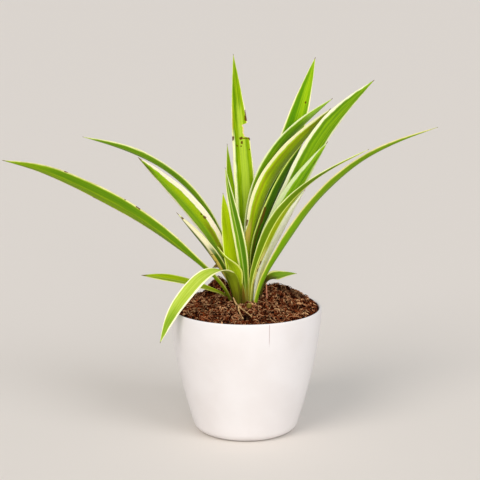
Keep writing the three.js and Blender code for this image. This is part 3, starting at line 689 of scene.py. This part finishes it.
        green=((80, 134, 4), (144, 184, 16)), margin=(1.0, 0.8), streak=1.3,
        # painted shade: the lower half of the blade is painted a deep green for the shade it stands in
        patches=((0, 0.52, -1, 1, (36, 78, 0), 0.8), (0.4, 0.95, 0.3, 0.8, (72, 128, 8), 0.7),
                 (0.4, 0.95, -0.5, -0.05, (172, 204, 20), 0.35)),
        marks=((0.82, -0.45, 0.822, -0.45, 0.8),)),
    "back_middle": dict(
        width=11,
        spine=((0, 18.5, 105), (1, 38, 138), (2, 62, 160), (3, 92, 158)), margin=(1.2, 1.2)),
    "back_left": dict(
        width=7, widest=0.62, taper=2.6, turn=(0, 55),
        spine=((-8, 16, 104), (-14, 34, 120), (-20, 48, 122), (-27.5, 61, 117.5)), margin=(0, 0), tip=3,
        patches=((0.3, 1, -1, 1, (112, 40, 18), 1.0),)),
    "back_right": dict(
        width=11,
        spine=((6.5, 19, 105), (14, 40, 137), (24, 60, 158), (36, 86, 158)), margin=(1.2, 1.0)),
    "dry_sheath": dict(
        width=4, widest=0.3, root=0.8, fold=(20, 10), turn=(0, 20),
        spine=((-1.6, -9.5, 104), (-1.9, -10.1, 112), (-2.4, -10.7, 121)),
        green=((54, 12, 2), (118, 54, 22)), margin=(0, 0), rib=0.0, streak=1.0, tip=1),
}


def halfWidth(leaf, share):
    # half the blade's width: smoothly out to the widest place, then in by a power of the way to the tip
    rise = leaf["root"] + (1 - leaf["root"]) * smoothStep(share, 0, leaf["widest"])
    past = np.maximum(share - leaf["widest"], 0) / (1 - leaf["widest"])
    return np.maximum(leaf["width"] / 2 * rise * (1 - past ** leaf["taper"]), blade["tipHalfWidth"])


def bladeLine(leaf):
    # the midrib's spline with its root, which goes on down into the soil, and the way from root to tip
    points = np.array(leaf["spine"], float)
    lean = (points[1] - points[0]) * [0.08, 0.08, 0]
    root = points[0] - lean
    root[2] = blade["rootHeight"]
    return splineThrough(np.concatenate([[root], points])), points[-1] - root


def makeBlade(leaf, number):
    # a shallow V across the midrib with a rounded keel, turned about the midrib as it goes up
    (length, at), heading = bladeLine(leaf)
    rng = np.random.default_rng(blade["seed"] + number)
    share = np.linspace(0, 1, blade["rows"]) ** 0.95
    bite = leaf["bite"]
    if bite:
        extra = 1 - np.linspace(bite["end"] - 2, bite["start"] + 2, blade["biteRows"]) / length
        share = np.unique(np.concatenate([share, extra]))
    distance = share * length
    centre = at(distance)
    along = unit(at(np.minimum(distance + 0.5, length)) - at(np.maximum(distance - 0.5, 0)))
    across = unit(np.array([-heading[1], heading[0], 0.0]))
    side = unit(across - along * (along @ across)[:, None])
    turnStart, turnEnd = leaf["turn"]
    turn = np.radians(turnStart + (turnEnd - turnStart) * smoothStep(share, *leaf["turnOver"]))[:, None]
    side = side * np.cos(turn) + np.cross(along, side) * np.sin(turn)
    up = np.cross(along, side)
    foldStart, foldEnd = leaf["fold"]
    fold = np.radians(foldStart + (foldEnd - foldStart) * smoothStep(share, *blade["foldSpan"]))
    half = halfWidth(leaf, share)
    count = blade["columns"]
    q = np.sin(np.linspace(math.pi / 2, -math.pi / 2, count))
    q = np.concatenate([q, q[::-1]])[None, :]
    face = np.concatenate([np.ones(count), np.zeros(count)])[None, :]
    phase = rng.random(6) * 2 * math.pi
    swell = sum(np.sin(distance / size + p) for size, p in zip(blade["ripples"], phase))[:, None]
    reach = half[:, None] * (1 + blade["ripple"] * swell) + 0 * q
    rim = np.full(reach.shape, 9.0)
    toTip = length - distance
    if bite:
        window = smoothStep(toTip, bite["end"] - 0.7, bite["end"] + 1.1)
        window = window * smoothStep(-toTip, -bite["start"] - 0.7, -bite["start"] + 1.1)
        nibble = 1 + 0.07 * np.sin(distance * 0.9 + 1) + 0.04 * np.sin(distance * 2.3)
        cut = (bite["depth"] * window * nibble)[:, None] * (np.sign(q) == bite["side"])
        reach = reach - cut
        rim = np.where(cut > 0.25, reach * (1 - np.abs(q)), rim)
    keel = blade["keel"]
    bent = (np.sqrt(q**2 + keel**2) - keel) / (math.sqrt(1 + keel**2) - keel)
    thin = blade["tipThickness"] + (1 - blade["tipThickness"]) * smoothStep(toTip, 0, blade["thinEnd"])
    thin = blade["thickness"] * thin
    thick = thin[:, None] / 2 * (0.3 + 0.7 * np.sqrt(1 - np.abs(q) ** 3)) * (2 * face - 1)
    waves = blade["wave"] * sum(np.sin(distance / size + p) for size, p in zip(blade["waves"], phase[3:]))[:, None]
    waves = waves * q * np.abs(q) * smoothStep(distance, *blade["calmBase"])[:, None] * (half / half.max())[:, None]
    outward = q * reach * np.cos(fold)[:, None]
    upward = bent * reach * np.sin(fold)[:, None] + thick / np.cos(fold)[:, None] + waves
    points = centre[:, None] + side[:, None] * outward[..., None] + up[:, None] * upward[..., None]
    rows, columns = reach.shape
    start = np.arange(count - 1)
    far = 2 * count - 1 - start
    cap = np.stack([start, start + 1, far - 1, far], -1)
    last = (rows - 1) * columns
    quads = np.concatenate([gridFaces(rows, columns), cap[:, ::-1], cap + last])
    fields = {"bladePlace": np.stack(np.broadcast_arrays(q * reach, half[:, None], distance[:, None]), -1),
              "bladeEnds": np.stack(np.broadcast_arrays(toTip[:, None], face, rim), -1)}
    return buildMesh(points, quads, (), fields)


def segmentDistance(paint, along, across, first, second):
    # how far, in mm, the blade's surface is from a straight mark between two points
    stepX, stepY = second[0] - first[0], second[1] - first[1]
    x, y = along - first[0], across - first[1]
    square = stepX**2 + stepY**2
    if square > 0.05:
        part = paint.limit((x * stepX + y * stepY) / square)
        x, y = x - part * stepX, y - part * stepY
    return paint.math("SQRT", x * x + y * y)


def bladePaint(name, leaf, number):
    (length, _), _ = bladeLine(leaf)
    paint = Paint("paint_" + name)
    across, half, along = paint.split(paint.attribute("bladePlace"))
    toTip, upper, rim = paint.split(paint.attribute("bladeEnds"))
    shift = 3.7 * number

    def lengthwise(alongScale, acrossScale, offset, *look):
        # noise drawn out along the blade
        where = paint.join(along * alongScale + shift, across * acrossScale, shift + offset)
        return paint.noise(where, 1, *look)

    streaks = lengthwise(0.02, 1.25, 0, 3, 0.6)
    broad = lengthwise(0.03, 0.35, 5, 2)
    wobble = lengthwise(0.09, 0.12, 9, 3, 0.6) - 0.5
    grain = paint.noise(paint.join(along * 0.8, across * 1.6, shift), 1, 2)
    dark, light = leaf["green"]
    veins = lengthwise(0.008, 3.1, 2, 2, 0.6)
    tone = ((streaks - 0.5) * 1.9 + (veins - 0.5) * 1.1) * leaf["streak"] + (broad - 0.5) * 1.2 + 0.5
    colour = paint.mix(paint.limit(tone), dark, light)
    q = across / half
    for low, high, left, right, tint, strength in leaf["patches"]:
        aside, place = q + wobble * 0.2, along + wobble * 14
        start, end = low * length, high * length
        mask = paint.ease(aside, left - 0.12, left + 0.08) * paint.fade(aside, right - 0.08, right + 0.12)
        mask = mask * paint.ease(place, start - 8, start + 8) * paint.fade(place, end - 8, end + 8)
        colour = paint.mix(mask * strength, colour, tint)
    aside = paint.math("ABSOLUTE", across)
    colour = paint.mix(paint.fade(aside, 0.15, 0.6) * leaf["rib"], colour, leaf["midrib"])
    fromEdge = half - aside
    narrowed = half * (2 / leaf["width"])
    plus = paint.ease(across, -0.2, 0.2)
    band = plus * leaf["margin"][0] + (1 - plus) * leaf["margin"][1]
    shown = fromEdge + wobble * (band * 0.6 + 0.4) + (streaks - 0.5) * band * 0.55 - band * narrowed
    if leaf["bare"]:
        start, end = (leaf["bare"] - 0.06) * length, (leaf["bare"] + 0.04) * length
        shown = shown + paint.fade(along + wobble * 10, start, end, 4.0)
    young = paint.fade(along + wobble * 20, *bladeLook["youngSpan"], 0.75)
    creamTone = paint.mix(paint.limit((streaks - 0.5) * 1.6), leaf["cream"], bladeLook["creamStreak"])
    creamTone = paint.mix(young, creamTone, bladeLook["youngCream"])
    colour = paint.mix(paint.fade(shown, 0.1, 1.0, 0.35), colour, bladeLook["border"])
    colour = paint.mix(paint.fade(shown, -0.3, 0.35), colour, creamTone)
    colour = paint.mix(paint.limit((grain - 0.5) * 0.5), colour, dark)
    # painted shade low in the crown: each blade is darkened towards its base, less on leaves with a small crown
    # word
    for start, end, waver, strength, tint in bladeLook["base"]:
        mask = paint.fade(along + wobble * waver, start, end, strength * leaf["crown"])
        colour = paint.mix(mask, colour, tint)
    worn = (plus * leaf["edge"][0] + (1 - plus) * leaf["edge"][1]) * paint.ease(wobble, -0.08, 0.12)
    dryness = worn * paint.fade(fromEdge, 0.25, 0.7)
    for *spots, size in leaf["marks"]:
        ends = [(share * length, aim * float(halfWidth(leaf, np.array([share]))[0]))
                for share, aim in (spots[:2], spots[2:])]
        apart = segmentDistance(paint, along, across, *ends) + (grain - 0.5) * 0.8
        dryness = paint.math("MAXIMUM", dryness, paint.fade(apart, size * 0.55, size * 1.15, 0.92))
    if leaf["tip"]:
        ended = toTip + wobble * 5
        dryness = paint.math("MAXIMUM", dryness, paint.fade(ended, leaf["tip"] * 0.35, leaf["tip"], 0.85))
    colour = paint.mix(dryness, colour, leaf["brown"])
    # painted highlight: a pale pinkish rim within a millimetre of the bitten edge
    if leaf["bite"]:
        colour = paint.mix(paint.fade(rim, 0.5, 1.0, 0.9), colour, bladeLook["biteEdgeHighlight"])
    colour = paint.mix((1 - upper) * bladeLook["undersideShare"], colour, bladeLook["underside"])
    ribs = paint.math("SINE", across * bladeLook["grooves"])
    normal = paint.bump(streaks * 1.2 + ribs * 0.14 + grain * 0.25, bladeLook["bump"] * mm, 0.55)
    rough = paint.ease(streaks, 0.3, 0.7, 0.44, 0.56) + dryness * 0.3
    return paint.finish(colour, rough, bladeLook["specular"], Normal=normal,
                        **{"Specular Tint": bladeLook["specularTint"]})


for number, (name, leaf) in enumerate(leaves.items()):
    leaf = {**plain, **leaf}
    slot, node = ("dry", name) if name.startswith("dry") else ("leaf", "leaf_" + name)
    addPiece("fine_" + node, makeBlade(leaf, number), bladePaint(node, leaf, number), slot, node)
print("leaves made:", len(leaves))


# The dry bits and the stem stub

# the stub's top colour is a painted highlight on its upper end
stub = dict(spine=((2.5, -18, 97), (2.5, -17.6, 103), (2.4, -16.6, 106.6)), radii=(2.3, 2.2, 1.9),
            steps=30, sides=28, skin=(124, 108, 32), husk=(82, 66, 16), top=(186, 170, 100))
stalk = dict(spine=((17, 0.8, 98), (16.8, 1, 105), (16.4, 1.2, 112), (16.3, 1.5, 118)), radii=(0.7, 0.7, 0.6, 0.4),
             steps=40, sides=10, skin=(206, 142, 108), husk=(140, 80, 58))
strand = dict(start=((-9.9, -11.6, 109.7), (-8.5, -13, 106.6)), lift=1.6,
              branches=(dict(radii=(0.45, 0.62, 0.68, 0.66, 0.6, 0.5, 0.4),
                             ground=((-7, -16), (-5.9, -20), (-5.7, -26), (-4.6, -34), (-2.2, -47))),
                        dict(radii=(0.45, 0.6, 0.62, 0.6, 0.56, 0.46, 0.35),
                             ground=((-7, -16), (-5.9, -20), (-4, -24.5), (-0.2, -33), (4.6, -42)))),
              steps=90, sides=12, skin=(228, 190, 132), husk=(110, 68, 28))


def makeTube(spine, radii, steps, sides, number):
    # a tube along a spline, its radius straight from point to point, with small knots and rounded ends
    spine = np.array(spine, float)
    marks = np.concatenate([[0], np.cumsum(np.linalg.norm(np.diff(spine, axis=0), axis=1))])
    length, at = splineThrough(spine)
    way = (1 - np.cos(np.linspace(0, math.pi, steps))) / 2
    distance = (0.35 * way + 0.65 * np.linspace(0, 1, steps)) * length
    ends = np.minimum(distance, length - distance)
    radius = np.interp(distance, marks, radii)
    radius = radius * np.sqrt(1 - (1 - np.clip(ends / (0.8 * radius), 0, 1)) ** 2 * 0.98)
    along = unit(at(np.minimum(distance + 0.2, length)) - at(np.maximum(distance - 0.2, 0)))
    side = unit(np.array([1.0, 0, 0]) - along * along[:, :1])
    up = np.cross(along, side)
    turn = np.linspace(0, 2 * math.pi, sides, endpoint=False)
    dents = 1 + 0.06 * np.sin(3 * turn + distance[:, None] * 0.7 + number)
    dents = dents + 0.05 * np.sin(distance * 1.7 + number)[:, None]
    ring = side[:, None] * np.cos(turn)[:, None] + up[:, None] * np.sin(turn)[:, None]
    points = at(distance)[:, None] + ring * (radius[:, None] * dents)[..., None]
    points = np.concatenate([points.reshape(-1, 3), at(np.array([0.0, length]))])
    distance, turn = np.broadcast_arrays(distance[:, None], turn)
    place = np.stack([distance, length - distance, turn], -1)
    place = np.concatenate([place.reshape(-1, 3), [[0, length, 0], [length, 0, 0]]])
    return points, gridFaces(steps, sides), capFaces(steps, sides)[:, [0, 2, 1]], place


def joinTubes(tubes):
    count, points, quads, caps, places = 0, [], [], [], []
    for part, faces, ends, place in tubes:
        points.append(part), quads.append(faces + count), caps.append(ends + count), places.append(place)
        count += len(part)
    return buildMesh(np.concatenate(points), np.concatenate(quads), np.concatenate(caps),
                     {"tubePlace": np.concatenate(places)})


def tubePaint(name, skin, husk, top=None):
    # lengthwise fibres of two colours; top is a pale colour at the far end, a painted highlight
    paint = Paint(name)
    along, toEnd, _ = paint.split(paint.attribute("tubePlace"))
    x, y, _ = paint.split(paint.place())
    rough = paint.noise(paint.join(x * 1600, y * 1600, along * 0.35), 1, 4, 0.65)
    cloud = paint.noise(paint.join(x * 300, y * 300, along * 0.25 + 4), 1, 2)
    colour = paint.mix(paint.ease(rough * 0.6 + cloud * 0.4, 0.38, 0.62), skin, husk)
    # painted highlight: the far end is lightened towards the pale top colour
    if top:
        colour = paint.mix(paint.fade(toEnd + (cloud - 0.5) * 1.6, 0.2, 1.0, 0.9), colour, top)
    normal = paint.bump(rough, 0.0003, 0.8)
    return paint.finish(colour, roughness=0.78, specular=0.2, Normal=normal)


def makeStrand():
    tubes = []
    for number, branch in enumerate(strand["branches"]):
        ground = np.array(branch["ground"], float)
        height = moundHeight(ground[:, 0], ground[:, 1]) + strand["lift"]
        spine = np.concatenate([strand["start"], np.concatenate([ground, height[:, None]], 1)])
        tubes.append(makeTube(spine, branch["radii"], strand["steps"], strand["sides"], number))
    return joinTubes(tubes)


for number, (name, skin, slot, part) in enumerate((("stem_stub", "stub_skin", "stub", stub),
                                                   ("dry_stalk", "stalk_skin", "dry", stalk)), 1):
    tube = makeTube(part["spine"], part["radii"], part["steps"], part["sides"], number)
    addPiece("fine_" + name, joinTubes([tube]), tubePaint(skin, part["skin"], part["husk"], part.get("top")),
             slot, name)
addPiece("fine_dry_strand", makeStrand(), tubePaint("strand_skin", strand["skin"], strand["husk"]),
         "strand", "dry_strand")
print("dry bits made")


# The studio

studio = dict(
    floorSize=60, floor=(226, 220, 213), world=(236, 238, 240), worldStrength=0.52,
    lamps=(dict(name="left", tilt=(54, 0, -38), strength=1.45, angle=34, colour=(255, 248, 242)),
           dict(name="right", tilt=(56, 0, 46), strength=1.1, angle=34, colour=(250, 251, 255)),
           dict(name="front", tilt=(78, 0, 6), strength=0.95, angle=30, colour=(255, 250, 246))),
    camera=dict(place=(-4.6, -1100, 372), down=11.25, focalPixels=1430, picturePixels=480, sensor=36),
)
corners = np.array([[-1, -1], [1, -1], [1, 1], [-1, 1]]) * studio["floorSize"] / 2 / mm
floorMesh = buildMesh(np.concatenate([corners, np.zeros((4, 1))], 1), [[0, 1, 2, 3]], smooth=False)
floorMesh.materials.append(Paint("pale_floor").finish(studio["floor"], roughness=0.7, specular=0.2))
addObject("pale_floor", floorMesh)

for soft in studio["lamps"]:
    lamp = bpy.data.lights.new("soft", "SUN")
    lamp.energy = soft["strength"]
    lamp.angle = math.radians(soft["angle"])
    lamp.color = linear(*soft["colour"])[:3]
    addObject("soft_" + soft["name"], lamp).rotation_euler = [math.radians(v) for v in soft["tilt"]]

world = bpy.data.worlds.new("pale_studio")
world.use_nodes = True
glow = world.node_tree.nodes["Background"].inputs
glow["Color"].default_value = linear(*studio["world"])
glow["Strength"].default_value = studio["worldStrength"]
bpy.context.scene.world = world

camera = studio["camera"]
view = bpy.data.cameras.new("photo_view")
view.sensor_width = camera["sensor"]
view.lens = camera["focalPixels"] / camera["picturePixels"] * camera["sensor"]
view.clip_end = 200
viewer = addObject("photo_view", view)
viewer.location = [v * mm for v in camera["place"]]
viewer.rotation_euler = (math.radians(90 - camera["down"]), 0, 0)
bpy.context.scene.camera = viewer
bpy.context.scene.view_settings.view_transform = "Standard"
print("studio made")
